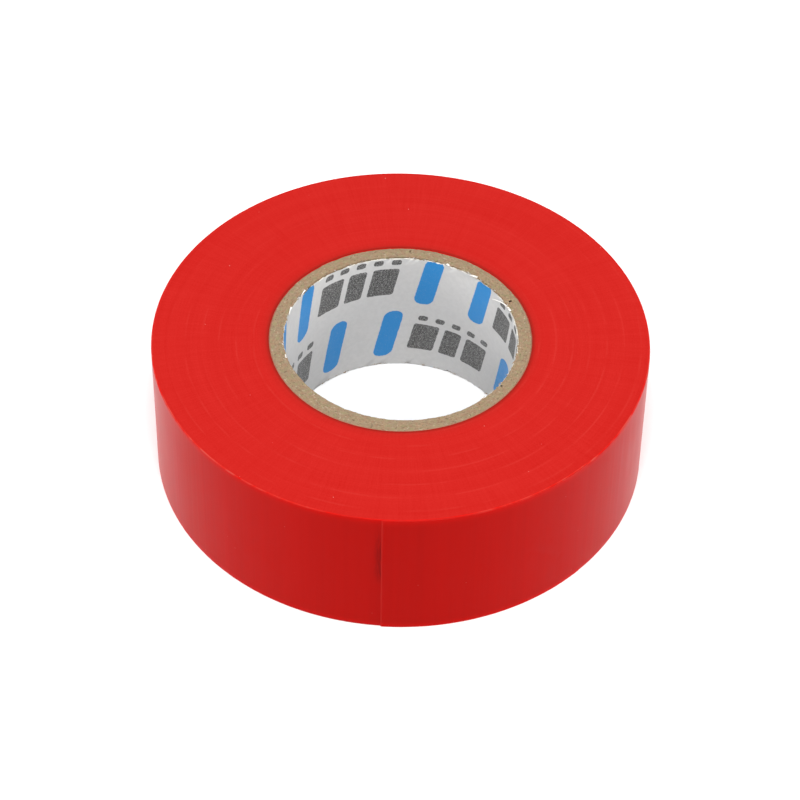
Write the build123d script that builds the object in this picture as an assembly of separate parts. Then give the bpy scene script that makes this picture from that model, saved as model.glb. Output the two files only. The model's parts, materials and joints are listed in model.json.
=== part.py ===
"""A roll of red PVC electrical tape on a spiral-wound kraft paper core with a printed paper liner.

The roll stands on one of its flat faces. The origin is the middle of that face, +Z runs up the roll's axis, and
-Y is the front, where the strip of tape ends. Seen from above, the strip runs counter-clockwise and inward from
its loose end. That end is cut into short lengths, each hinged to the one before it, so that it can be peeled.
"""

from build123d import *

import os
from math import cos, degrees, radians, sin, sqrt

# Tape
TAPE_WIDTH = 19.0
TAPE_THICKNESS = 0.11  # film and adhesive
ROLL_RADIUS = 30.9  # to the outermost lap at the strip's loose end

# Core: kraft plies round the bore, with a printed liner inside them
CORE_RADIUS = 16.3  # outside of the outermost ply
PLY_COUNT = 4
PLY_THICKNESS = 0.42
LINER_THICKNESS = 0.12
CORE_RECESS = 0.02  # the core was slit with the tape, and its ends sit this far inside the tape's faces
BUTT_GAP = 0.25  # between a paper strip's two edges, where it meets itself
WINDING_SLANT = 40.0  # degrees from the axis to the butt seam
FIRST_SEAM_ANGLE = -60.0  # the liner's seam, counter-clockwise from +X
SEAM_STAGGER = 59.0  # each ply's seam is turned this far from the one inside it

# Loose end of the strip
END_ANGLE = -93.4  # where the strip ends, counter-clockwise from +X
TAIL_COUNT = 6
TAIL_PITCH = 4.5  # from one hinge to the next, along the strip
TAIL_GAP = 0.02  # between neighbouring lengths
TAIL_CLEARANCE = 0.01  # between the tail and the lap under it
TAIL_EDGE_MARGIN = 0.05  # the tail's long edges sit this far inside the roll's faces

# The spiral loses one tape thickness in a turn, a quarter of it at each change of arc.
QUARTER_DROP = TAPE_THICKNESS / 4
FIRST_ARC_RADIUS = ROLL_RADIUS - QUARTER_DROP / 2
TAIL_PITCH_ANGLE = degrees(TAIL_PITCH / FIRST_ARC_RADIUS)
TAIL_ANGLE = TAIL_COUNT * TAIL_PITCH_ANGLE

CORE_LENGTH = TAPE_WIDTH - 2 * CORE_RECESS


def along(angle, radius):
    """The point at this radius from the axis and angle from +X."""
    return Vector(radius * cos(radians(angle)), radius * sin(radians(angle)))


def arc_centre(quarter):
    """Centre of the arc that draws one quarter turn of the spiral: a corner of a small square round the axis."""
    return along(END_ANGLE + 90 * quarter - 45, QUARTER_DROP / sqrt(2))


def arc_radius(quarter):
    return FIRST_ARC_RADIUS - quarter * QUARTER_DROP


def spiral_arcs(first, last):
    """Tangent arcs along the tape's outer surface. Both angles are counted round from the strip's end."""
    arcs = []
    angle = first
    while angle < last:
        quarter = int(angle // 90)
        stop = min(90 * (quarter + 1), last)
        arc = CenterArc(arc_centre(quarter), arc_radius(quarter), END_ANGLE + angle, stop - angle)
        arcs.append(arc)
        angle = stop
    return arcs


def tape_winding():
    """Every lap of the strip except the tail: a ring whose outside is a spiral with a step at the tail's root."""
    arcs = spiral_arcs(TAIL_ANGLE, TAIL_ANGLE + 360)
    root_step = Line(arcs[-1] @ 1, arcs[0] @ 0)
    outline = Face(Wire(arcs + [root_step]))
    return extrude(outline - Circle(CORE_RADIUS).face(), TAPE_WIDTH)


def tail_length(number):
    """One length of the loose end, a slice of a ring about the first arc's centre. Number 1 is at the root."""
    root_angle = END_ANGLE + TAIL_ANGLE - (number - 1) * TAIL_PITCH_ANGLE
    size = TAIL_PITCH_ANGLE - degrees(TAIL_GAP / FIRST_ARC_RADIUS)
    outer = CenterArc(arc_centre(0), FIRST_ARC_RADIUS, root_angle - size, size)
    inner_radius = FIRST_ARC_RADIUS - TAPE_THICKNESS + TAIL_CLEARANCE
    inner = CenterArc(arc_centre(0), inner_radius, root_angle - size, size)
    ends = [Line(outer @ 0, inner @ 0), Line(outer @ 1, inner @ 1)]
    section = Face(Wire([outer, inner] + ends))
    return Pos(0, 0, TAIL_EDGE_MARGIN) * extrude(section, TAPE_WIDTH - 2 * TAIL_EDGE_MARGIN)


def hinge_point(number):
    """The hinge is at the outer corner of a length's root end, so that it opens clear of what it leaves."""
    root_angle = END_ANGLE + TAIL_ANGLE - (number - 1) * TAIL_PITCH_ANGLE
    return arc_centre(0) + along(root_angle, FIRST_ARC_RADIUS)


def paper_strip(inner_radius, thickness, seam_angle):
    """A strip wound once round the bore. Its edges meet at a butt seam that slants across the core."""
    outer_radius = inner_radius + thickness
    ring = Circle(outer_radius).face() - Circle(inner_radius).face()
    tube = Pos(0, 0, CORE_RECESS) * extrude(ring, CORE_LENGTH)
    reach = outer_radius + BUTT_GAP
    slot = Box(reach, BUTT_GAP, 2 * CORE_LENGTH)
    slot = Pos(reach / 2, 0, 0) * Rot(WINDING_SLANT, 0, 0) * slot
    return tube - Pos(0, 0, TAPE_WIDTH / 2) * Rot(0, 0, seam_angle) * slot


def all_parts():
    """Every node's shape, by name."""
    shapes = {"tape_winding": tape_winding()}
    for number in range(1, TAIL_COUNT + 1):
        shapes[f"tape_tail_{number}"] = tail_length(number)
    first_ply_radius = CORE_RADIUS - PLY_COUNT * PLY_THICKNESS
    bore_radius = first_ply_radius - LINER_THICKNESS
    shapes["printed_liner"] = paper_strip(bore_radius, LINER_THICKNESS, FIRST_SEAM_ANGLE)
    for number in range(1, PLY_COUNT + 1):
        inner_radius = first_ply_radius + (number - 1) * PLY_THICKNESS
        seam_angle = FIRST_SEAM_ANGLE + number * SEAM_STAGGER
        shapes[f"core_ply_{number}"] = paper_strip(inner_radius, PLY_THICKNESS, seam_angle)
    return shapes


os.makedirs("parts", exist_ok=True)
for name, shape in all_parts().items():
    shape.label = name
    export_step(shape, f"parts/{name}.step")
for number in range(1, TAIL_COUNT + 1):
    print(f"hinge {number}:", hinge_point(number))
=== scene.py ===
"""Electrical tape roll, as it looks: a spiral of red PVC film on a kraft core with a printed paper liner.

Lengths are in metres unless a name or comment says mm. Angles are in radians unless a comment says degrees,
and they run counter-clockwise from +X seen from above. Each mesh carries its rest place in millimetres in the
attribute "rest", which the materials read, so that the pattern stays on the film when the free end moves.
"""

import json
import math

import bpy
import numpy as np
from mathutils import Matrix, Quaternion, Vector

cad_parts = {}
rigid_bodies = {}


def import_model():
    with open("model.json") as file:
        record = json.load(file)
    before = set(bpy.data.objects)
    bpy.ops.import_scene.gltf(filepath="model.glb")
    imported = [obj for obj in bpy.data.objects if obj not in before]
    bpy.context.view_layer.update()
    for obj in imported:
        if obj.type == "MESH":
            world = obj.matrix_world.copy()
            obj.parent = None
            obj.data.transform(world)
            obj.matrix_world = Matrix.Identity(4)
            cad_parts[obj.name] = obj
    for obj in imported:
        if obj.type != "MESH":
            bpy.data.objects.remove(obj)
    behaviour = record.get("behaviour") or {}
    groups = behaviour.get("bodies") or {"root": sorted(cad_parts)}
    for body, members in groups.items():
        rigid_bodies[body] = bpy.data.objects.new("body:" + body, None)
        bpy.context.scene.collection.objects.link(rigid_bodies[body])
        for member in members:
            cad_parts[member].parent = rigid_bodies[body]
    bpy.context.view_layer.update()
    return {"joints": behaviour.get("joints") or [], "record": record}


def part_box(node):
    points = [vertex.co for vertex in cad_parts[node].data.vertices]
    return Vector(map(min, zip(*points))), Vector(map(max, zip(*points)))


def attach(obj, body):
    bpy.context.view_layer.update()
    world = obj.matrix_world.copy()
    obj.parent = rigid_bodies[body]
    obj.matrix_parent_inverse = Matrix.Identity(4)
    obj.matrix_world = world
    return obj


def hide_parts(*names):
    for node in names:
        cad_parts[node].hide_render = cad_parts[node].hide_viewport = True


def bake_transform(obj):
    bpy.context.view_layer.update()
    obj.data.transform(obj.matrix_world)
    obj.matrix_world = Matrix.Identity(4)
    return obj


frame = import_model()

MM = 0.001
TURN = 2 * math.pi

# ---------------------------------------------------------------- sizes from the frame

MOUNTS = {mount["name"]: mount for mount in frame["record"]["mounts"]}
HINGES = [Vector(joint["pos_m"]) for joint in frame["joints"]]
PEEL_BODIES = [joint["child"] for joint in frame["joints"]]
ROLL_BODY = frame["joints"][0]["parent"]

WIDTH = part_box("tape_winding")[1].z
BORE_RADIUS = MOUNTS["core_bore"]["dims"]["r_mm"] * MM
PLY_COUNT = 4


def outer_radius(node):
    """Half a round node's size along X."""
    low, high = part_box(node)
    return (high.x - low.x) / 2


LINER_OUTER = outer_radius("printed_liner")
PLY_OUTER = [outer_radius(f"core_ply_{number}") for number in range(1, PLY_COUNT + 1)]
CORE_RADIUS = PLY_OUTER[-1]
CORE_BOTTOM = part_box("core_ply_1")[0].z
CORE_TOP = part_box("core_ply_1")[1].z

FILM = 0.11 * MM  # thickness of the tape
HINGE_ANGLES = [math.atan2(hinge.y, hinge.x) for hinge in HINGES]
HINGE_PITCH = (HINGE_ANGLES[0] - HINGE_ANGLES[-1]) / (len(HINGES) - 1)
END_ANGLE = HINGE_ANGLES[-1] - HINGE_PITCH
TAIL_ANGLE = HINGE_PITCH * len(HINGES)
END_RADIUS = HINGES[0].xy.length + FILM * TAIL_ANGLE / TURN

SEAM_SLANT = math.radians(40)  # the paper strips' butt seams, from the axis
BUTT_GAP = 0.25 * MM
# The liner's seam, then each ply's.
SEAM_ANGLES = [math.radians(-60 + 59 * number) for number in range(PLY_COUNT + 1)]


def spiral_radius(turned):
    """Outside radius of the strip, at an angle counted counter-clockwise from its free end."""
    return END_RADIUS - FILM * turned / TURN


# ---------------------------------------------------------------- mesh helpers

SHARP_ANGLE = math.radians(35)  # shading breaks where faces meet at more than this


def soft_noise(u, v, seed, period=None):
    """Smooth random values from -1 to 1 on a lattice of unit cells. With a period, u repeats after it."""
    cell_u, cell_v = np.floor(u).astype(int), np.floor(v).astype(int)
    part_u, part_v = u - cell_u, v - cell_v
    part_u = part_u * part_u * (3 - 2 * part_u)
    part_v = part_v * part_v * (3 - 2 * part_v)

    def corner(a, b):
        if period:
            a = a % period
        scrambled = np.sin(a * 127.1 + b * 311.7 + seed * 74.7) * 43758.5453
        return 2 * (scrambled - np.floor(scrambled)) - 1

    low = corner(cell_u, cell_v) * (1 - part_u) + corner(cell_u + 1, cell_v) * part_u
    high = corner(cell_u, cell_v + 1) * (1 - part_u) + corner(cell_u + 1, cell_v + 1) * part_u
    return low * (1 - part_v) + high * part_v


def bump(distance, width):
    """A smooth hill of height 1 at distance 0."""
    return np.exp(-((distance / width) ** 2))


def polar(radius, angle, height):
    """Points from arrays of cylindrical coordinates."""
    radius, angle, height = np.broadcast_arrays(radius, angle, height)
    return np.stack([radius * np.cos(angle), radius * np.sin(angle), height], axis=-1)


def grid_faces(rows, columns, wrap_rows=False, wrap_columns=False, first=0):
    """Quads over a lattice of vertices, numbered row by row."""
    row = np.arange(rows if wrap_rows else rows - 1)[:, None]
    column = np.arange(columns if wrap_columns else columns - 1)[None, :]
    next_row, next_column = (row + 1) % rows, (column + 1) % columns
    corners = [
        row * columns + column,
        next_row * columns + column,
        next_row * columns + next_column,
        row * columns + next_column,
    ]
    return np.stack(np.broadcast_arrays(*corners), axis=-1).reshape(-1, 4) + first


def mesh_object(name, points, faces, materials, face_materials=None):
    """A smooth-shaded mesh object with its rest place stored in millimetres.

    face_materials gives each face's material, and without it every face has the first one.
    """
    points = np.asarray(points, float).reshape(-1, 3)
    mesh = bpy.data.meshes.new(name)
    mesh.from_pydata(points.tolist(), [], [list(map(int, face)) for face in faces])
    rest = mesh.attributes.new("rest", "FLOAT_VECTOR", "POINT")
    rest.data.foreach_set("vector", (points / MM).astype(np.float32).ravel())
    for material in materials:
        mesh.materials.append(material)
    if face_materials is not None:
        slots = {material: number for number, material in enumerate(materials)}
        mesh.polygons.foreach_set("material_index", [slots[material] for material in face_materials])
    mesh.shade_smooth()
    mesh.set_sharp_from_angle(angle=SHARP_ANGLE)
    mesh.validate()
    mesh.update()
    obj = bpy.data.objects.new(name, mesh)
    bpy.context.scene.collection.objects.link(obj)
    return obj


# ---------------------------------------------------------------- material helpers


class Nodes:
    """Builds one material's node tree around a Principled shader."""

    def __init__(self, name):
        self.material = bpy.data.materials.new(name)
        self.material.use_nodes = True
        self.tree = self.material.node_tree
        self.shader = self.tree.nodes["Principled BSDF"]

    def node(self, kind, settings=None, **inputs):
        made = self.tree.nodes.new(kind)
        for key, value in (settings or {}).items():
            setattr(made, key, value)
        for key, value in inputs.items():
            socket = made.inputs[int(key[1:])] if key[1:].isdigit() else made.inputs[key.replace("_", " ")]
            self.feed(socket, value)
        return made

    def feed(self, socket, value):
        if isinstance(value, bpy.types.NodeSocket):
            self.tree.links.new(value, socket)
        else:
            socket.default_value = value

    def set(self, **inputs):
        for key, value in inputs.items():
            self.feed(self.shader.inputs[key.replace("_", " ")], value)

    def math(self, operation, a, b=0.0):
        return self.node("ShaderNodeMath", {"operation": operation}, i0=a, i1=b).outputs[0]

    def plus(self, a, b):
        return self.math("ADD", a, b)

    def minus(self, a, b):
        return self.math("SUBTRACT", a, b)

    def times(self, a, b):
        return self.math("MULTIPLY", a, b)

    def vector(self, operation, a, b=(0, 0, 0)):
        made = self.node("ShaderNodeVectorMath", {"operation": operation}, i0=a, i1=b)
        return made.outputs["Value" if operation == "LENGTH" else "Vector"]

    def combine(self, x=0.0, y=0.0, z=0.0):
        return self.node("ShaderNodeCombineXYZ", X=x, Y=y, Z=z).outputs[0]

    def rest(self):
        """The rest place, in millimetres."""
        return self.node("ShaderNodeAttribute", {"attribute_name": "rest"}).outputs["Vector"]

    def cylindrical(self):
        """Radius and height in millimetres, with the angle between. Keeps the angle's cosine and sine."""
        x, y, height = self.node("ShaderNodeSeparateXYZ", Vector=self.rest()).outputs
        radius = self.vector("LENGTH", self.combine(x, y))
        self.cosine, self.sine = self.math("DIVIDE", x, radius), self.math("DIVIDE", y, radius)
        return radius, self.math("ARCTAN2", y, x), height

    def around(self, per_radian, third):
        """A point for a 3-D texture that repeats round the roll with no seam. Needs cylindrical first."""
        return self.combine(self.times(self.cosine, per_radian), self.times(self.sine, per_radian), third)

    def noise(self, place, scale=1.0, detail=2.0, roughness=0.5):
        made = self.node(
            "ShaderNodeTexNoise", Vector=place, Scale=scale, Detail=detail, Roughness=roughness
        )
        return made.outputs["Fac"]

    def fit(self, value, low, high, to_low=0.0, to_high=1.0, smooth=True):
        """value from low..high spread over to_low..to_high, clamped."""
        settings = {"interpolation_type": "SMOOTHSTEP" if smooth else "LINEAR"}
        made = self.node(
            "ShaderNodeMapRange", settings, i0=value, i1=low, i2=high, i3=to_low, i4=to_high
        )
        return made.outputs[0]

    def mix(self, share, a, b):
        """Colour a, with this share of colour b in it."""
        return self.node("ShaderNodeMix", {"data_type": "RGBA"}, i0=share, i6=a, i7=b).outputs[2]

    def relief(self, height, distance_mm):
        """Bump from a height of 0 to 1 that stands for distance_mm."""
        made = self.node("ShaderNodeBump", Height=height, Strength=1.0, Distance=distance_mm * MM)
        self.feed(self.shader.inputs["Normal"], made.outputs[0])


def shade(colour, factor=1.0):
    return tuple(channel * factor for channel in colour) + (1.0,)


# ---------------------------------------------------------------- materials

RED = (0.56, 0.0034, 0.0011)
END_CUT_PALE_AND_HIGHLIGHT = (0.62, 0.030, 0.022)  # the cut of the strip's loose end: paler film, with a painted highlight
# painted shadow in front of the strip's lifted end
LIFT_SHADOW_RED = (0.10, 0.001, 0.0008)
FILM_DUST = (0.70, 0.20, 0.17)
FACE_RED = (0.455, 0.0078, 0.0054)  # the slit faces' darker laps
PALE_RED = (0.51, 0.0192, 0.015)  # and their paler ones
TOOL_MARK_RED = (0.80, 0.13, 0.10)
FACE_DUST = (0.85, 0.55, 0.5)
CORE_PAINTED_SHADE = (0.13, 0.012, 0.006)  # painted shade on the slit faces close to the core
# The rim's painted highlight: paler at the sides and back, weaker at the very front.
RIM_HIGHLIGHT_RED = (0.58, 0.062, 0.048)
FRONT_RIM_RED = (0.55, 0.010, 0.007)

KRAFT = (0.30, 0.212, 0.128)
KRAFT_GREY = (0.27, 0.205, 0.14)
KRAFT_BROWN = (0.30, 0.165, 0.10)
KRAFT_GREEN = (0.255, 0.245, 0.115)
KRAFT_SPECK = (0.10, 0.068, 0.04)
KRAFT_FLECK = (0.52, 0.44, 0.335)
KRAFT_BY_TAPE = (0.40, 0.13, 0.09)  # the board next to the red film

PAPER = (0.76, 0.742, 0.72)
FRAYED_PAPER = (0.80, 0.77, 0.70)
SHRED_PAPER = (0.86, 0.84, 0.80)
INK_BLUE = (0.035, 0.29, 0.69)
INK_GREY = (0.076, 0.073, 0.069)

WIDTH_MM = WIDTH / MM
END_RADIUS_MM = END_RADIUS / MM
CORE_RADIUS_MM = CORE_RADIUS / MM
BORE_RADIUS_MM = BORE_RADIUS / MM

TOOL_MARK_PITCH = 2.1  # mm between turns of the spiral that the slitting blade left
TOOL_MARK_START = 8.32  # turns by which that spiral is set round
DUST_SPACING = 2.6  # mm between specks, counted in a volume, so few of them lie on the surface


def dusted(n, colour, dust, share, full, clear):
    """colour with specks of dust: this share up to full mm from their centres, none from clear mm."""
    nearest = n.node("ShaderNodeTexVoronoi", Vector=n.rest(), Scale=1 / DUST_SPACING)
    distance = n.times(nearest.outputs["Distance"], DUST_SPACING)
    return n.mix(n.fit(distance, full, clear, share, 0.0), colour, shade(dust))


def film_material():
    """The strip's outer face: satin PVC with faint streaks across the strip and slow waves."""
    n = Nodes("tape_film")
    _, angle, height = n.cylindrical()
    streaks = n.noise(n.around(55, n.times(height, 0.03)), detail=3.0)
    bands = n.noise(n.around(9, n.times(height, 0.02)), detail=2.0)
    waves = n.noise(n.around(4, n.times(height, 0.10)), detail=3.0)
    tone = n.plus(n.times(streaks, 0.55), n.times(bands, 0.45))
    colour = n.mix(tone, shade(RED, 0.90), shade(RED, 1.10))

    # Light gets into the film through its slit edges, so the last millimetre or so glows.
    from_middle = n.math("ABSOLUTE", n.minus(height, WIDTH_MM / 2))
    glow = n.fit(from_middle, WIDTH_MM / 2 - 1.5, WIDTH_MM / 2)
    colour = n.mix(n.times(glow, n.times(glow, 0.9)), colour, shade(RED, 1.24))

    # A painted shadow, in patches, in front of the strip's lifted end.
    past_end = n.minus(n.times(angle, END_RADIUS_MM), END_ANGLE * END_RADIUS_MM)
    beside = n.times(n.fit(past_end, -1.10, -0.15), n.fit(past_end, 0.0, 0.05, 1.0, 0.0))
    span = n.times(n.fit(height, 7.4, 9.6, 0.10, 1.0), n.fit(height, 13.0, 18.2, 1.0, 0.15))
    lines = n.combine(n.times(past_end, 5.0), n.times(height, 0.5))
    patches = n.fit(n.noise(lines, detail=2.0), 0.35, 0.6, 0.45, 1.0)
    lift_shadow = n.times(n.times(beside, span), n.times(patches, 0.49))
    colour = n.mix(lift_shadow, colour, shade(LIFT_SHADOW_RED))

    # The strip's cut end shows as a thin pale line: partly paler cut film, partly a painted highlight.
    end_edge = n.times(n.fit(past_end, 0.0, 0.02), n.fit(past_end, 0.12, 0.20, 1.0, 0.0))
    colour = n.mix(n.times(end_edge, 0.35), colour, shade(END_CUT_PALE_AND_HIGHLIGHT))
    n.set(Base_Color=dusted(n, colour, FILM_DUST, 0.35, 0.04, 0.11))
    n.set(Roughness=n.plus(n.times(waves, 0.10), 0.265))
    n.set(Specular_IOR_Level=0.05, Sheen_Weight=0.035, Sheen_Roughness=0.4)
    relief = n.plus(n.times(streaks, 0.6), n.times(bands, 1.8))
    n.relief(relief, 0.02)
    return n.material


def adhesive_material():
    """The strip's inner face: clear adhesive over the same red film."""
    n = Nodes("tape_adhesive")
    _, _, height = n.cylindrical()
    blotches = n.noise(n.around(40, n.times(height, 0.9)), detail=4.0)
    n.set(Base_Color=n.mix(n.fit(blotches, 0.35, 0.65), shade(RED, 0.74), shade(RED, 0.88)))
    n.set(Roughness=n.fit(blotches, 0.3, 0.7, 0.42, 0.55))
    n.set(Specular_IOR_Level=0.22)
    n.relief(blotches, 0.01)
    return n.material


def cut_edge_material():
    """The slit edges of about 130 laps, with the blade's own marks."""
    n = Nodes("tape_cut_edge")
    radius, angle, _ = n.cylindrical()
    turns = n.math("DIVIDE", angle, TURN)
    laps = n.noise(n.around(1.2, n.times(radius, 7.0)), detail=3.0, roughness=0.65)
    bands = n.noise(n.around(0.8, n.times(radius, 0.9)), detail=2.0)
    spokes = n.noise(n.around(150, n.times(radius, 0.22)), detail=3.0)
    wide_spokes = n.noise(n.around(26, n.times(radius, 0.12)), detail=2.0)

    # The blade's marks: a spiral, broken in places and fainter at the back.
    mark_turn = n.minus(n.math("DIVIDE", radius, TOOL_MARK_PITCH), turns)
    mark_turn = n.math("FRACT", n.plus(mark_turn, TOOL_MARK_START))
    mark = n.fit(n.math("ABSOLUTE", n.minus(mark_turn, 0.5)), 0.0, 0.10, 1.0, 0.0)
    front = n.fit(n.sine, 0.9, -0.35, 0.35, 1.0)
    broken = n.fit(n.noise(n.around(5, n.times(radius, 0.9))), 0.42, 0.62, 0.08, 1.0)
    mark = n.times(n.times(mark, front), broken)

    grain = n.noise(n.rest(), scale=5.0, detail=2.0)
    tone = n.plus(n.times(laps, 0.40), n.times(bands, 0.30))
    tone = n.plus(tone, n.times(spokes, 0.36))
    tone = n.plus(tone, n.times(wide_spokes, 0.14))
    tone = n.plus(tone, n.times(grain, 0.45))
    tone = n.fit(tone, 0.55, 1.10, smooth=False)
    colour = n.mix(tone, shade(FACE_RED, 0.98), shade(PALE_RED))
    colour = n.mix(n.times(mark, 0.06), colour, shade(TOOL_MARK_RED))
    colour = dusted(n, colour, FACE_DUST, 0.45, 0.03, 0.085)
    # Painted shade on the slit faces next to the core, where the laps dip.
    from_core = n.minus(radius, CORE_RADIUS_MM)
    painted_core_shade = n.plus(n.fit(from_core, 0.0, 0.55, 0.46, 0.0), n.fit(from_core, 0.0, 1.6, 0.14, 0.0))
    n.set(Base_Color=n.mix(painted_core_shade, colour, shade(CORE_PAINTED_SHADE)))
    n.set(Roughness=n.fit(laps, 0.3, 0.7, 0.62, 0.74))
    n.set(Specular_IOR_Level=0.03)
    relief = n.plus(n.times(laps, 0.7), n.times(spokes, 0.12))
    n.relief(n.plus(relief, n.times(mark, 0.15)), 0.02)
    return n.material


def rim_material():
    """The rounded edge between the slit faces and the outside, paled by a painted highlight."""
    n = Nodes("tape_rim")
    _, _, height = n.cylindrical()
    rim_patches = n.noise(n.around(14, height), detail=4.0)
    # The painted highlight is weaker at the very front, near the strip's end, than at the sides and the back.
    rim_highlight = n.mix(n.fit(n.sine, -0.985, -0.90), shade(FRONT_RIM_RED), shade(RIM_HIGHLIGHT_RED))
    n.set(Base_Color=n.mix(n.fit(rim_patches, 0.35, 0.65), shade(RED, 1.12), rim_highlight))
    n.set(Roughness=n.fit(rim_patches, 0.3, 0.7, 0.45, 0.6))
    n.set(Specular_IOR_Level=0.05)
    n.relief(rim_patches, 0.01)
    return n.material


def kraft_material():
    """Grey-brown board: long fibres, dark and pale specks, and a fuzzy cut."""
    n = Nodes("kraft_board")
    radius, _, _ = n.cylindrical()
    place = n.rest()
    fibres = n.noise(n.around(30, n.times(radius, 6.0)), detail=5.0, roughness=0.75)
    cloud = n.noise(place, scale=0.8, detail=4.0, roughness=0.65)
    specks = n.noise(place, scale=3.6, detail=2.0)
    flecks = n.noise(n.vector("ADD", place, (31.0, 17.0, 5.0)), scale=3.2, detail=2.0)
    mottle = n.noise(n.vector("ADD", place, (7.0, 3.0, 11.0)), scale=1.9, detail=2.0)
    colour = n.mix(n.fit(fibres, 0.32, 0.68), shade(KRAFT, 0.76), shade(KRAFT, 1.22))
    colour = n.mix(n.fit(cloud, 0.35, 0.65, 0.0, 0.45), colour, shade(KRAFT_GREY))
    colour = n.mix(n.fit(mottle, 0.30, 0.50, 0.5, 0.0), colour, shade(KRAFT_BROWN))
    colour = n.mix(n.fit(mottle, 0.50, 0.70, 0.0, 0.5), colour, shade(KRAFT_GREEN))
    colour = n.mix(n.fit(specks, 0.60, 0.70, 0.0, 0.6), colour, shade(KRAFT_SPECK))
    colour = n.mix(n.fit(flecks, 0.60, 0.72, 0.0, 0.5), colour, shade(KRAFT_FLECK))
    from_tape = n.minus(CORE_RADIUS_MM, radius)
    n.set(Base_Color=n.mix(n.fit(from_tape, 0.0, 0.26, 0.5, 0.0), colour, shade(KRAFT_BY_TAPE)))
    n.set(Roughness=n.fit(fibres, 0.2, 0.8, 0.8, 0.95))
    n.set(Specular_IOR_Level=0.2)
    n.relief(n.plus(fibres, n.times(specks, 0.4)), 0.07)
    return n.material


def paper_material(name, tint):
    """Bare paper, fibrous and matte."""
    n = Nodes(name)
    pulp = n.noise(n.rest(), scale=2.4, detail=5.0, roughness=0.65)
    n.set(Base_Color=n.mix(n.fit(pulp, 0.3, 0.7), shade(tint, 0.93), shade(tint, 1.04)))
    n.set(Roughness=n.fit(pulp, 0.3, 0.7, 0.62, 0.8))
    n.set(Specular_IOR_Level=0.3)
    n.relief(pulp, 0.03)
    return n.material


# The print's sizes and places are in mm.
PRINT_PERIOD = 25.5  # along the liner
ROW_PITCH = 9.5
ROW_BASE = 1.0  # the lower row's bottom, above the roll's face
ROW_START = 8.9  # where the upper row's pattern begins, from the back towards +X
PRINT_SLANT = 0.22  # sideways run of the printed marks over their height
SLANT_LEVEL = 4.6  # the height in a row at which the slant moves nothing
INK_BLUR = 0.04
INK_WOBBLE = 0.16  # how far the marks' outlines wander
# Each mark is a rounded block: its centre along and up the row, half its size each way, and its corner.
BLUE_BARS = [(centre, 4.6, 1.25, 4.0, 1.1) for centre in (2.2, 20.2)]
GREY_BLOCKS = [(6.9, 4.25, 1.7, 2.25, 0.35), (10.6, 4.25, 1.2, 2.25, 0.35), (14.3, 4.25, 1.7, 2.25, 0.35)]
GREY_DASHES = [(6.1 + 2.3 * count, 7.6, 0.62, 0.42, 0.3) for count in range(5)]


def printed_material():
    """The liner's printed face: two staggered rows of plain slanted bars, blocks and short dashes."""
    n = Nodes("liner_print")
    _, angle, height = n.cylindrical()

    # The pattern is counted round from the liner's own seam, so that it breaks there as a real strip's does.
    rise = n.minus(height, WIDTH_MM / 2)
    lean = n.math("ARCSINE", n.times(rise, -math.tan(SEAM_SLANT) / BORE_RADIUS_MM))
    seam = n.plus(lean, SEAM_ANGLES[0])
    past_seam = n.math("FLOORED_MODULO", n.minus(angle, seam), TURN)
    run = n.minus(math.pi / 2, n.plus(past_seam, seam))
    run = n.times(run, BORE_RADIUS_MM)

    above = n.minus(height, ROW_BASE)
    row = n.math("FLOOR", n.math("DIVIDE", above, ROW_PITCH))
    v = n.minus(above, n.times(row, ROW_PITCH))
    lower = n.math("FLOORED_MODULO", n.plus(row, 1.0), 2.0)
    shifted = n.minus(run, ROW_START)
    shifted = n.plus(shifted, n.times(lower, PRINT_PERIOD / 2))
    u = n.math("FLOORED_MODULO", shifted, PRINT_PERIOD)
    slanted = n.minus(u, n.times(n.minus(v, SLANT_LEVEL), PRINT_SLANT))
    place = n.combine(slanted, v)

    wobble = n.noise(n.rest(), scale=3.0, detail=2.0)
    wobble = n.times(n.minus(wobble, 0.5), INK_WOBBLE)

    def block(centre_u, centre_v, half_u, half_v, corner):
        """1 inside a rounded block, 0 outside."""
        off = n.vector("ABSOLUTE", n.vector("SUBTRACT", place, (centre_u, centre_v, 0)))
        off = n.vector("SUBTRACT", off, (half_u - corner, half_v - corner, 1))
        edge = n.vector("LENGTH", n.vector("MAXIMUM", off, (0, 0, 0)))
        edge = n.plus(edge, wobble)
        return n.fit(edge, corner - INK_BLUR, corner + INK_BLUR, 1.0, 0.0)

    def together(marks):
        """1 inside any of the marks."""
        whole = block(*marks[0])
        for mark in marks[1:]:
            whole = n.math("MAXIMUM", whole, block(*mark))
        return whole

    blue = together(BLUE_BARS)
    grey = together(GREY_BLOCKS + GREY_DASHES)

    pulp = n.noise(n.rest(), scale=1.6, detail=5.0, roughness=0.6)
    mottle = n.noise(n.rest(), scale=9.0, detail=2.0, roughness=0.6)
    paper = n.mix(n.fit(pulp, 0.3, 0.7), shade(PAPER, 0.96), shade(PAPER, 1.02))
    blue_share = n.times(blue, n.fit(mottle, 0.25, 0.42, 0.82, 1.0))
    grey_share = n.times(grey, n.fit(mottle, 0.39, 0.51, 0.56, 1.0))
    n.set(Base_Color=n.mix(grey_share, n.mix(blue_share, paper, shade(INK_BLUE)), shade(INK_GREY)))
    inked = n.math("MAXIMUM", blue, grey)
    n.set(Roughness=n.minus(n.fit(pulp, 0.3, 0.7, 0.5, 0.62), n.times(inked, 0.12)))
    n.set(Specular_IOR_Level=0.35)
    n.relief(n.plus(pulp, n.times(inked, 0.25)), 0.02)
    return n.material


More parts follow.
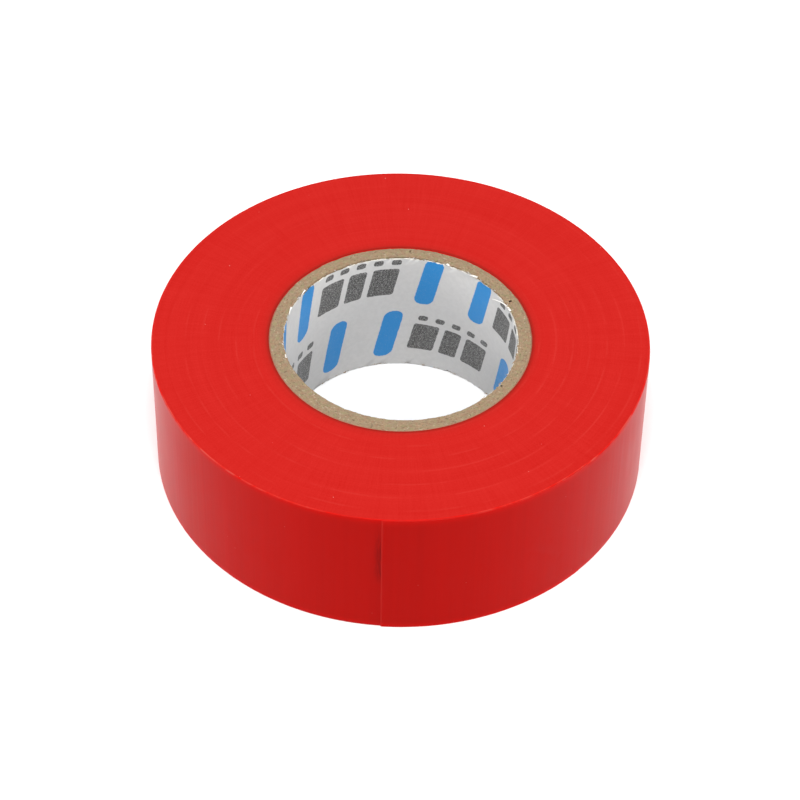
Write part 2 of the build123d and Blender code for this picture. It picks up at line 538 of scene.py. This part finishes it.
def torn_material():
    """Torn fibres, some of them from the white liner and some from the brown board."""
    n = Nodes("torn_fibres")
    source = n.noise(n.rest(), scale=1.1, detail=1.0)
    pulp = n.noise(n.rest(), scale=6.0, detail=2.0)
    colour = n.mix(n.fit(source, 0.47, 0.59), shade(KRAFT, 1.35), shade(PAPER, 0.88))
    n.set(Base_Color=n.mix(n.fit(pulp, 0.3, 0.7, 0.0, 0.25), colour, shade(KRAFT)))
    n.set(Roughness=n.fit(pulp, 0.3, 0.7, 0.75, 0.9))
    n.set(Specular_IOR_Level=0.2)
    return n.material


FLOOR_WHITE = 0.95  # as the camera sees it
FLOOR_BOUNCE = 0.3  # as the roll does


def floor_material():
    """White to look at. The light that it scatters back is weaker, as from a floor of finite size."""
    n = Nodes("pale_floor")
    scattered = n.node("ShaderNodeLightPath").outputs["Is Diffuse Ray"]
    n.set(Base_Color=n.mix(scattered, shade((1, 1, 1), FLOOR_WHITE), shade((1, 1, 1), FLOOR_BOUNCE)))
    n.set(Roughness=0.9, Specular_IOR_Level=0.0)
    return n.material


film = film_material()
adhesive = adhesive_material()
cut_edge = cut_edge_material()
rim = rim_material()
kraft = kraft_material()
printed = printed_material()
paper = paper_material("white_paper", PAPER)
fray = paper_material("frayed_paper", FRAYED_PAPER)
shred_paper = paper_material("shred_paper", SHRED_PAPER)
torn = torn_material()

# ---------------------------------------------------------------- the wound tape

ROLL_COLUMNS = 600
FACE_RINGS = 54
SIDE_ROWS = 40
FACE_CROWDING = 1.25  # above 1, the rings stand closer together towards the core
RIM = 0.13 * MM  # rounding between the faces and the side
RIM_STEPS = 5
CORE_DIP = 0.03 * MM  # the innermost laps' edges lie this much lower
CORE_DIP_WIDTH = 0.9 * MM
FACE_SWELL = 0.011 * MM  # a slit face stands proud by up to this, so the bottom one starts as much higher
STEP_ANGLE = 1e-5  # the outermost lap steps down to the one under it over this angle


def face_relief(radius, angle, seed):
    """Height of the slit face over its plane: laps that stand a little proud, and a dip at the core."""
    turned = angle / TURN
    laps = soft_noise(radius / (0.9 * MM), turned * 3, seed) * 0.004
    laps = laps + soft_noise(radius / (4 * MM), turned * 5, seed + 3) * 0.006
    return laps * MM - CORE_DIP * bump(radius - CORE_RADIUS, CORE_DIP_WIDTH)


CREASES = [
    # start angle, start height, end angle, end height, width, depth; angles in degrees, the rest in mm
    (-56.0, 13.5, -53.5, 9.6, 0.40, 0.016),
    (-58.5, 9.2, -50.5, 5.6, 0.45, 0.020),
    (-50.5, 5.2, -45.5, 1.4, 0.40, 0.016),
    (-23.5, 17.5, -22.5, 8.0, 0.50, 0.014),
    (-27.5, 15.5, -27.0, 9.5, 0.45, 0.008),
    (-131.0, 8.5, -126.0, 4.5, 0.50, 0.012),
]


def crease_depth(angle, height):
    """Faint folds pressed into the film."""
    depth = np.zeros(np.broadcast(angle, height).shape)
    across = ((angle + math.pi) % TURN - math.pi) * END_RADIUS / MM
    up = height / MM
    for from_angle, from_up, to_angle, to_up, width, deep in CREASES:
        start = np.array([math.radians(from_angle) * END_RADIUS / MM, from_up])
        way = np.array([math.radians(to_angle) * END_RADIUS / MM, to_up]) - start
        length = np.hypot(*way)
        along = ((across - start[0]) * way[0] + (up - start[1]) * way[1]) / length**2
        nearest = np.clip(along, 0, 1)
        off = np.hypot(across - start[0] - nearest * way[0], up - start[1] - nearest * way[1])
        depth += deep * bump(off, width)
    return depth * MM


def side_shape(angle, height):
    """Slow waves of the outer laps, and the folds."""
    waves = soft_noise(angle / TURN * 24, height / (7 * MM), 5, 24) * 0.006 * MM
    return waves - crease_depth(angle, height)


def edge_fade(height):
    """1 in the middle of the roll's width, falling to 0 at its two faces."""
    return np.sin(np.pi * height / WIDTH) ** 0.5


def tape_winding():
    """A ring with a spiral outside: inner wall, top face, side and bottom face as one closed grid."""
    turned = TAIL_ANGLE + np.linspace(0, TURN, ROLL_COLUMNS, endpoint=False)
    turned = np.append(turned, TAIL_ANGLE + TURN - STEP_ANGLE)
    angle = END_ANGLE + turned
    outside = spiral_radius(turned)

    rows, row_materials = [], []

    def add(radius, height, material):
        """A row of points round the roll. The material is that of the faces between it and the next row."""
        rows.append(polar(radius, angle, height))
        row_materials.append(material)

    def add_face(parts, level, out, seed):
        """One slit face. out is +1 for the top, where the relief stands up, and -1 for the bottom."""
        for part in parts:
            radius = CORE_RADIUS + (outside - RIM - CORE_RADIUS) * part**FACE_CROWDING
            fade = min(1.0, (1 - part) * 30)
            add(radius, level + out * face_relief(radius, angle, seed) * fade, cut_edge)

    shares = np.linspace(0, 1, FACE_RINGS)
    bends = np.linspace(0, math.pi / 2, RIM_STEPS + 1)[1:-1]
    add_face(shares, WIDTH, 1, 1)
    row_materials[-1] = rim
    for bend in bends:
        add(outside - RIM * (1 - math.sin(bend)), WIDTH - RIM * (1 - math.cos(bend)), rim)
    for height in np.linspace(WIDTH - RIM, RIM, SIDE_ROWS):
        add(outside + side_shape(angle, height) * edge_fade(height), height, film)
    row_materials[-1] = rim
    for bend in bends[::-1]:
        add(outside - RIM * (1 - math.sin(bend)), RIM * (1 - math.cos(bend)), rim)
    add_face(shares[::-1], FACE_SWELL, -1, 2)
    row_materials[-1] = film  # the inner wall runs from the bottom face back to the top one

    columns = len(angle)
    faces = grid_faces(len(rows), columns, True, True)
    face_materials = [material for material in row_materials for _ in range(columns)]
    obj = mesh_object("wound_tape", np.stack(rows), faces, [cut_edge, film, rim], face_materials)
    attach(obj, ROLL_BODY)
    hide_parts("tape_winding")


# ---------------------------------------------------------------- the loose end

STRIP_STEP = 0.22 * MM  # between vertices along the strip
STRIP_COLUMNS = 80  # of vertices across the strip, without its two rounded edges
STRIP_EDGE = 0.03 * MM  # rounding of its long edges
LIFT = 0.08 * MM  # how far the free end stands off, at the most
LIFT_LENGTH = 1.3 * MM  # along the strip
LIFT_HEIGHT = 11.9 * MM  # where it stands off the most
LIFT_REACH = 3.0 * MM  # up and down from there
END_TAPER = 0.14 * MM  # the cut end slants over this length
END_TAPER_SHARE = 0.6  # of the film's thickness that the slant takes off


def free_end_lift(turned, height):
    """The film's free edge stands off the roll by a hair over part of its height."""
    along = np.clip(1 - turned * END_RADIUS / LIFT_LENGTH, 0, 1)
    return LIFT * along**2 * bump(height - LIFT_HEIGHT, LIFT_REACH)


def film_strip(name, first, last):
    """A length of film between two angles counted from the free end. It is closed all round."""
    count = max(4, round(abs(last - first) * END_RADIUS / STRIP_STEP)) + 1
    turned = np.linspace(first, last, count)
    if first == 0:
        turned = np.concatenate([[0, END_TAPER / 2 / END_RADIUS, END_TAPER / END_RADIUS], turned[2:]])
    turned = turned[:, None]
    inner_heights = np.linspace(STRIP_EDGE, WIDTH - STRIP_EDGE, STRIP_COLUMNS)
    height = np.concatenate([[0], inner_heights, [WIDTH]])[None, :]
    inset = np.where((height == 0) | (height == WIDTH), STRIP_EDGE, 0)
    angle = END_ANGLE + turned
    shape = side_shape(angle, height) * edge_fade(height) + free_end_lift(turned, height)
    taper = np.clip(1 - turned * END_RADIUS / END_TAPER, 0, 1) * FILM * END_TAPER_SHARE
    outer = polar(spiral_radius(turned) + shape - inset - taper, angle, height)
    inner = polar(spiral_radius(turned) - FILM + shape + inset / 2, angle, height)
    rows, columns = outer.shape[:2]
    size = rows * columns
    outer_faces = grid_faces(rows, columns)
    inner_faces = grid_faces(rows, columns, first=size)[:, ::-1]
    low = np.arange(rows - 1) * columns
    high = low + columns - 1
    bottom = np.stack([low, low + size, low + columns + size, low + columns], axis=-1)
    top = np.stack([high, high + columns, high + columns + size, high + size], axis=-1)
    start = np.arange(columns - 1)
    finish = start + (rows - 1) * columns
    first_cap = np.stack([start, start + 1, start + 1 + size, start + size], axis=-1)
    last_cap = np.stack([finish, finish + size, finish + 1 + size, finish + 1], axis=-1)
    faces = np.concatenate([outer_faces, inner_faces, bottom, top, first_cap, last_cap])
    face_materials = ([rim] + [film] * (columns - 3) + [rim]) * (rows - 1)
    face_materials += [adhesive] * len(inner_faces)
    face_materials += [cut_edge] * (len(bottom) + len(top))
    face_materials += [rim] * (len(first_cap) + len(last_cap))
    points = np.concatenate([outer, inner])
    obj = mesh_object(name, points, faces, [film, adhesive, cut_edge, rim], face_materials)
    return obj


def tape_tail():
    """The loose end, split in the middle of each hinged length, where the film doesn't bend."""
    splits = [TAIL_ANGLE] + [TAIL_ANGLE - HINGE_PITCH * (index + 0.5) for index in range(len(HINGES))]
    reach = HINGE_PITCH / 2
    before = [ROLL_BODY] + PEEL_BODIES[:-1]
    for index, (body, previous) in enumerate(zip(PEEL_BODIES, before)):
        strip = film_strip(f"tape_bend_{index + 1}", splits[index + 1], splits[index])
        hinge_turned = TAIL_ANGLE - HINGE_PITCH * index
        from_turned = hinge_turned if index == 0 else hinge_turned + reach
        start = polar(END_RADIUS, END_ANGLE + from_turned, 0.0)
        end = polar(END_RADIUS, END_ANGLE + hinge_turned - reach, 0.0)
        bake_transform(strip)
        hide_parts(f"tape_tail_{index + 1}")
    tip = film_strip("tape_free_end", 0.0, splits[-1])
    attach(tip, PEEL_BODIES[-1])


# ---------------------------------------------------------------- the core

CORE_COLUMNS = 720
WALL_STEPS = 15  # rows of faces down each wall
PLY_END_STEPS = 6  # rows of vertices across each end
LINER_END_STEPS = 3
FUZZ = 0.04 * MM  # roughness of the kraft's cut ends
KRAFT_TOP_MARGIN = 0.02 * MM  # from the core's top down to the middle of that roughness
KRAFT_BOTTOM_MARGIN = 0.07 * MM  # from its bottom up to the same, so that no fibre goes through the floor
BORE_WEAR = 0.03 * MM  # how far the board's corner at the bore is worn down
TAPE_WEAR = 0.12 * MM  # and its corner at the tape
LIP_REACH = 0.46 * MM  # at the front the knife pushed the board's edge in over the liner
LIP_THICKNESS = 0.10 * MM
LINER_TOP_INSET = 0.18  # mm from the board's cut to the liner's


def seam_lean(height, radius):
    """How far round a slanted seam has run at this height, from its middle."""
    return np.arcsin(-(height - WIDTH / 2) * math.tan(SEAM_SLANT) / radius)


def at_front(angle):
    """1 at the front of the roll, falling to 0 at its sides."""
    from_front = (angle + math.pi / 2 + math.pi) % TURN - math.pi
    return bump(from_front, math.radians(48))


def board_lip(angle):
    """How far the board's top edge reaches in over the liner."""
    fuzz = soft_noise(angle / TURN * 300, 0.5, 41, 300) * 0.12
    fuzz = fuzz + soft_noise(angle / TURN * 60, 0.5, 42, 60) * 0.1
    return LIP_REACH * at_front(angle) * (1 + fuzz)


def paper_ring(name, inside, outside, seam, end_steps, end_height, materials, lip=None):
    """A strip wound once round the bore, with a slanted butt seam.

    end_height(share, angle, top) shapes its ends. lip(angle) is how far the top end reaches in over the bore.
    The materials are those of the ends, the outer wall and the bore wall.
    """
    end_material, outer_material, bore_material = materials
    gap = BUTT_GAP / inside
    around = np.linspace(gap / 2, TURN - gap / 2, CORE_COLUMNS)
    shares = np.linspace(0, 1, end_steps)
    parts = np.linspace(0, 1, WALL_STEPS + 1)[1:-1]

    def end_rows(shares, top):
        """The radius and height of each row of vertices across one end."""
        rows = []
        for share in shares:
            rows.append((inside + (outside - inside) * share, end_height(share, seam + around, top)))
        if top and lip:
            edge = rows[0][1] - LIP_THICKNESS / 2
            rows = [(inside, edge - LIP_THICKNESS / 2), (inside - lip(seam + around), edge)] + rows
        return rows

    def wall_rows(radius, start, finish):
        return [(radius, start * (1 - part) + finish * part) for part in parts]

    top_end, bottom_end = end_rows(shares, True), end_rows(shares[::-1], False)
    outer_wall = wall_rows(outside, top_end[-1][1], bottom_end[0][1])
    bore_wall = wall_rows(inside, bottom_end[-1][1], top_end[0][1])
    section = top_end + outer_wall + bottom_end + bore_wall
    rows = []
    for radius, height in section:
        rows.append(polar(radius, seam + seam_lean(np.mean(height), inside) + around, height))
    points = np.stack(rows)
    count, columns = points.shape[:2]
    top_count, bottom_count = len(top_end), len(bottom_end)

    row_materials = [end_material] * (top_count - 1) + [outer_material] * WALL_STEPS
    row_materials += [end_material] * (bottom_count - 1) + [bore_material] * WALL_STEPS
    faces = grid_faces(count, columns, True, False).tolist()
    face_materials = [material for material in row_materials for _ in range(columns - 1)]

    def cap(column, flip):
        """Closes the strip's edge along the seam: a polygon at each end and quads down the wall."""
        outer = [top_count - 1 + step for step in range(WALL_STEPS + 1)]
        bore = [(count - step) % count for step in range(WALL_STEPS + 1)]
        polygons = [list(range(top_count)) + [outer[1], bore[1]]]
        for step in range(1, WALL_STEPS - 1):
            polygons.append([outer[step], outer[step + 1], bore[step + 1], bore[step]])
        polygons.append([outer[-2]] + list(range(outer[-1], outer[-1] + bottom_count)) + [bore[-2]])
        for polygon in polygons:
            corners = [row * columns + column for row in polygon]
            faces.append(corners[::-1] if flip else corners)
            face_materials.append(end_material)

    cap(0, True)
    cap(columns - 1, False)
    obj = mesh_object(name, points, faces, list(dict.fromkeys(materials)), face_materials)
    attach(obj, ROLL_BODY)
    return obj


def kraft_plies():
    """The core's plies, from the liner out. Each one is cut a little higher or lower than the next."""
    inside = LINER_OUTER
    for number, outside in enumerate(PLY_OUTER, start=1):
        step = soft_noise(np.array([number * 1.7]), np.array([0.5]), 9)[0] * 0.03 * MM

        def end_height(share, angle, top, number=number, step=step):
            """Torn fibres, and corners rubbed down at the bore and at the tape."""
            around = angle / TURN
            across = (number + share) * 2.5
            fuzz = soft_noise(around * 340, across, 11 + 5 * top, 340)
            fuzz = fuzz + soft_noise(around * 110, across * 0.5, 12 + 5 * top, 110) * 0.8
            corner = BORE_WEAR * (1 - share) ** 2 if number == 1 else 0.0
            corner += TAPE_WEAR * share**3 if number == PLY_COUNT else 0.0
            proud = FUZZ * fuzz + step - corner
            return CORE_TOP - KRAFT_TOP_MARGIN + proud if top else CORE_BOTTOM + KRAFT_BOTTOM_MARGIN - proud

        ring = paper_ring(
            f"kraft_ply_{number}", inside, outside, SEAM_ANGLES[number], PLY_END_STEPS, end_height,
            [kraft, kraft, kraft], board_lip if number == 1 else None,
        )
        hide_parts(f"core_ply_{number}")
        inside = outside


def paper_liner():
    """The liner, with bare paper behind its print."""

    def end_height(share, angle, top):
        """A ragged cut, a little below the board's."""
        around = angle / TURN
        ragged = np.abs(soft_noise(around * 240, share * 2, 21 + top, 240)) * 0.16
        ragged = ragged + np.clip(soft_noise(around * 80, share, 23 + top, 80), 0, 1) * 0.30
        inset = (ragged + top * (LINER_TOP_INSET + 1.2 * LIP_THICKNESS / MM * at_front(angle))) * MM
        return CORE_TOP - inset if top else CORE_BOTTOM + inset

    ring = paper_ring(
        "paper_liner", BORE_RADIUS, LINER_OUTER, SEAM_ANGLES[0], LINER_END_STEPS, end_height,
        [fray, paper, printed],
    )
    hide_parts("printed_liner")


# ---------------------------------------------------------------- torn paper at the bore's two edges

FIBRE_COUNT = 340
FIBRE_STATIONS = 4
TORN_PLACES = [math.radians(30), math.radians(50), math.radians(165)]  # where the knife tore the liner most
TORN_SPREAD = 0.12  # radians to each side of those places
LIP_COVER = 0.45  # where at_front is above this, the board's lip covers the top edge, and no fibres stand there
SHREDS = [
    # first and last angle in degrees; how far it reaches in, how far it drops and its width, in mm
    (20.0, 35.0, 0.60, 0.85, 0.24),
    (49.0, 54.0, 0.15, 0.15, 0.32),
    (67.0, 63.5, 0.20, 0.30, 0.26),
    (146.0, 150.5, 0.12, 0.12, 0.20),
    (160.0, 165.0, 0.15, 0.12, 0.22),
    (196.0, 192.0, 0.12, 0.12, 0.20),
]
SHRED_STATIONS = 8
SHRED_THICKNESS = 0.05 * MM
FLOOR_CLEARANCE = 0.10 * MM  # keeps the lower fibres off what the roll stands on


def ribbon(centres, side, width, thickness):
    """A closed tapering sliver of paper along a line of points: its corner points and faces."""
    points = []
    last = len(centres) - 1
    for station, centre in enumerate(centres):
        part = station / last
        way = (centres[min(station + 1, last)] - centres[max(station - 1, 0)]).normalized()
        across = (side - way * side.dot(way)).normalized() * (width * (1 - 0.75 * part) / 2)
        through = way.cross(across).normalized() * (thickness * (1 - 0.5 * part) / 2)
        points += [centre - across - through, centre + across - through]
        points += [centre + across + through, centre - across + through]
    faces = []
    for station in range(last):
        first = station * 4
        for corner in range(4):
            following = (corner + 1) % 4
            faces.append([first + corner, first + following, first + following + 4, first + corner + 4])
    faces += [[3, 2, 1, 0], [len(points) - 4 + corner for corner in range(4)]]
    return points, faces


def fibre(start, way, curl, length, width, thickness):
    """A short sliver that runs from start along way and bends towards curl."""
    parts = [station / (FIBRE_STATIONS - 1) for station in range(FIBRE_STATIONS)]
    centres = [start + way * (length * part) + curl * (length * 0.45 * part * part) for part in parts]
    return ribbon(centres, way.cross(curl).normalized(), width, thickness)


def shred(first_angle, last_angle, reach, drop, width):
    """A strip of the liner's top edge that has come away and hangs into the bore."""
    centres = []
    for station in range(SHRED_STATIONS):
        part = station / (SHRED_STATIONS - 1)
        angle = math.radians(first_angle + (last_angle - first_angle) * part)
        radius = LINER_OUTER - 0.06 * MM - reach * MM * part**2
        height = CORE_TOP - 0.02 * MM - drop * MM * part**1.5
        centres.append(Vector((radius * math.cos(angle), radius * math.sin(angle), height)))
    side = Vector((centres[0].x, centres[0].y, 0)).normalized() + Vector((0, 0, 0.5))
    return ribbon(centres, side, width * MM, SHRED_THICKNESS)


def torn_edge(name, top):
    """Torn fibres of liner and board that stand out round one end of the bore."""
    rng = np.random.default_rng(31 if top else 32)
    shreds = [shred(*values) for values in SHREDS] if top else []
    fibres = []
    up = Vector((0, 0, 1 if top else -1))
    level = CORE_TOP if top else CORE_BOTTOM + FLOOR_CLEARANCE
    for index in range(FIBRE_COUNT):
        if top and index % 4 == 0:
            angle = TORN_PLACES[index // 4 % len(TORN_PLACES)] + rng.normal() * TORN_SPREAD
        else:
            angle = rng.uniform(0, TURN)
        if top and at_front(angle) > LIP_COVER:
            continue
        outward = Vector((math.cos(angle), math.sin(angle), 0))
        tangent = Vector((-outward.y, outward.x, 0))
        radius = LINER_OUTER + rng.uniform(-0.10, 0.10) * MM
        start = outward * radius + Vector((0, 0, level)) - up * rng.uniform(0.03, 0.12) * MM
        way = up * rng.uniform(0.0, 0.2) - outward * rng.uniform(-0.2, 0.5) + tangent * rng.choice([-1, 1])
        curl = (-outward * rng.uniform(0.1, 0.6) - up * rng.uniform(0.1, 0.7)).normalized()
        length = rng.uniform(0.12, 0.42) * MM
        width, thickness = rng.uniform(0.08, 0.24) * MM, rng.uniform(0.02, 0.05) * MM
        fibres.append(fibre(start, way.normalized(), curl, length, width, thickness))
    points, faces, face_materials = [], [], []
    for slivers, material in ((shreds, shred_paper), (fibres, torn)):
        for corners, corner_faces in slivers:
            faces += [[corner + len(points) for corner in face] for face in corner_faces]
            points += corners
            face_materials += [material] * len(corner_faces)
    obj = mesh_object(name, [tuple(point) for point in points], faces, [torn, shred_paper], face_materials)
    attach(obj, ROLL_BODY)


# ---------------------------------------------------------------- stage, lights and camera

FLOOR_REACH = 3.0
WORLD_STRENGTH = 0.45
SOFTBOXES = [
    # name, place, size and power in watts
    ("softbox_above", (0.0, -0.5, 1.08), 0.4, 11.2),
    ("softbox_left", (-1.1, -0.05, 0.45), 0.6, 5.5),
    ("softbox_right", (1.1, -0.05, 0.45), 0.6, 5.5),
    ("softbox_back", (0.0, 1.15, 0.3), 0.8, 4.2),
]


def floor():
    reach = FLOOR_REACH
    corners = [(-reach, -reach, 0), (reach, -reach, 0), (reach, reach, 0), (-reach, reach, 0)]
    plane = mesh_object("floor", corners, [(0, 1, 2, 3)], [floor_material()])


def softbox(name, place, size, power):
    """A square light aimed at the origin."""
    light = bpy.data.lights.new(name, "AREA")
    light.shape = "SQUARE"
    light.size = size
    light.energy = power
    obj = bpy.data.objects.new(name, light)
    obj.location = place
    obj.rotation_mode = "QUATERNION"
    obj.rotation_quaternion = (Vector((0, 0, 0)) - Vector(place)).to_track_quat("-Z", "Y")
    bpy.context.scene.collection.objects.link(obj)


def studio():
    scene = bpy.context.scene
    world = bpy.data.worlds.new("studio")
    world.use_nodes = True
    background = world.node_tree.nodes["Background"]
    background.inputs["Color"].default_value = (1.0, 1.0, 1.0, 1.0)
    background.inputs["Strength"].default_value = WORLD_STRENGTH
    scene.world = world
    scene.view_settings.view_transform = "Standard"
    for values in SOFTBOXES:
        softbox(*values)


CAMERA_DISTANCE = 0.367  # from the middle of the roll
CAMERA_ELEVATION = math.radians(45.16)
CAMERA_ROLL = math.radians(1.0)
CAMERA_LENS_MM = 131.0
SENSOR_MM = 36.0
AIM_BELOW_CENTRE = 1.17 * MM  # square to the view
AIM_RIGHT = 0.07 * MM


def camera():
    data = bpy.data.cameras.new("camera")
    data.lens = CAMERA_LENS_MM
    data.sensor_width = SENSOR_MM
    data.clip_start, data.clip_end = 0.01, 20.0
    obj = bpy.data.objects.new("camera", data)
    centre = Vector((0, 0, WIDTH / 2))
    back = Vector((0, -math.cos(CAMERA_ELEVATION), math.sin(CAMERA_ELEVATION)))
    up = Vector((0, math.sin(CAMERA_ELEVATION), math.cos(CAMERA_ELEVATION)))
    obj.location = centre + back * CAMERA_DISTANCE
    aim = centre - up * AIM_BELOW_CENTRE + Vector((AIM_RIGHT, 0, 0))
    obj.rotation_mode = "QUATERNION"
    facing = (aim - obj.location).to_track_quat("-Z", "Y")
    obj.rotation_quaternion = facing @ Quaternion((0, 0, 1), CAMERA_ROLL)
    bpy.context.scene.collection.objects.link(obj)
    bpy.context.scene.camera = obj


camera()
tape_winding()
tape_tail()
kraft_plies()
paper_liner()
torn_edge("torn_fibres_top", True)
torn_edge("torn_fibres_bottom", False)
floor()
studio()
